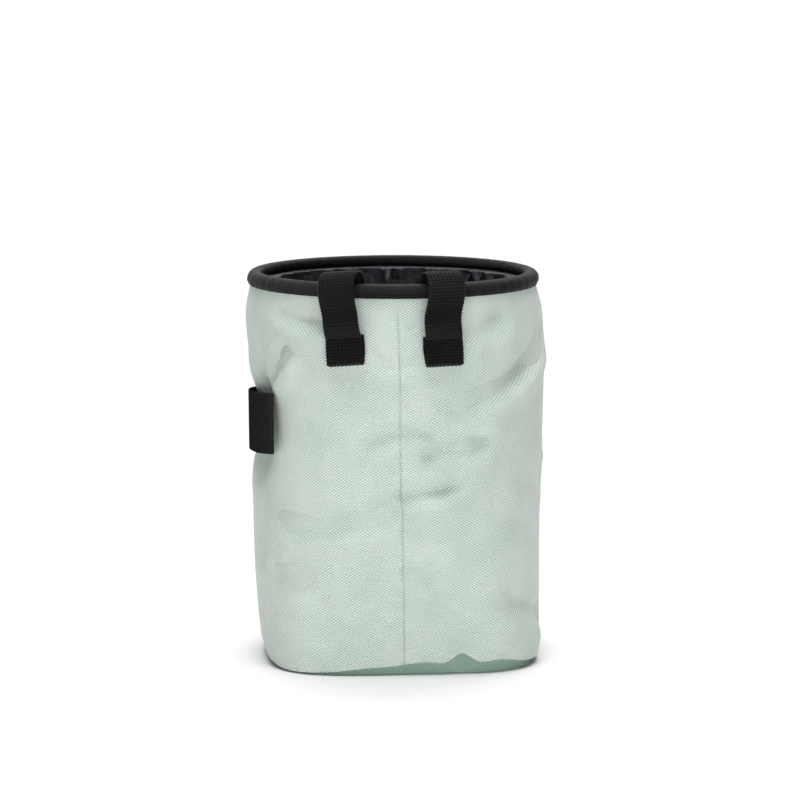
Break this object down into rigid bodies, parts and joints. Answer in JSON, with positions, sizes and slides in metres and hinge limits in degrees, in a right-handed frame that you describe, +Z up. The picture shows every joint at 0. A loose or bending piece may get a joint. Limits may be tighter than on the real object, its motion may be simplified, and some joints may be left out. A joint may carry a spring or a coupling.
{
  "type": "climbing chalk bag",
  "caption": "Soft round cloth bucket with a bound mouth, gathered lining, belt loops arching over the rim and a band at the side for a brush handle.",
  "frame": {"origin": "middle of the base's flat underside, where the bag stands", "axes": "+Z up along the bag's height, -Y out of the side with the centre seam and the belt loops, +X to the right of that side as it is looked at"},
  "size_m": [0.1271, 0.1302, 0.1696],
  "materials": {
    "shell_cloth": "matt pale mint basket weave",
    "base_cloth": "matt pale mint basket weave",
    "lining_cloth": "smooth dark grey cloth with a soft sheen",
    "binding_tape": "matt black twill tape",
    "webbing": "ribbed black webbing",
    "brush_webbing": "fine ribbed black webbing"
  },
  "bodies": {
    "root": {"outer_shell": "shell_cloth", "base_panel": "base_cloth", "lining": "lining_cloth", "rim_binding": "binding_tape", "belt_loop_left": "webbing", "belt_loop_right": "webbing", "brush_loop": "brush_webbing"}
  },
  "joints": []
}
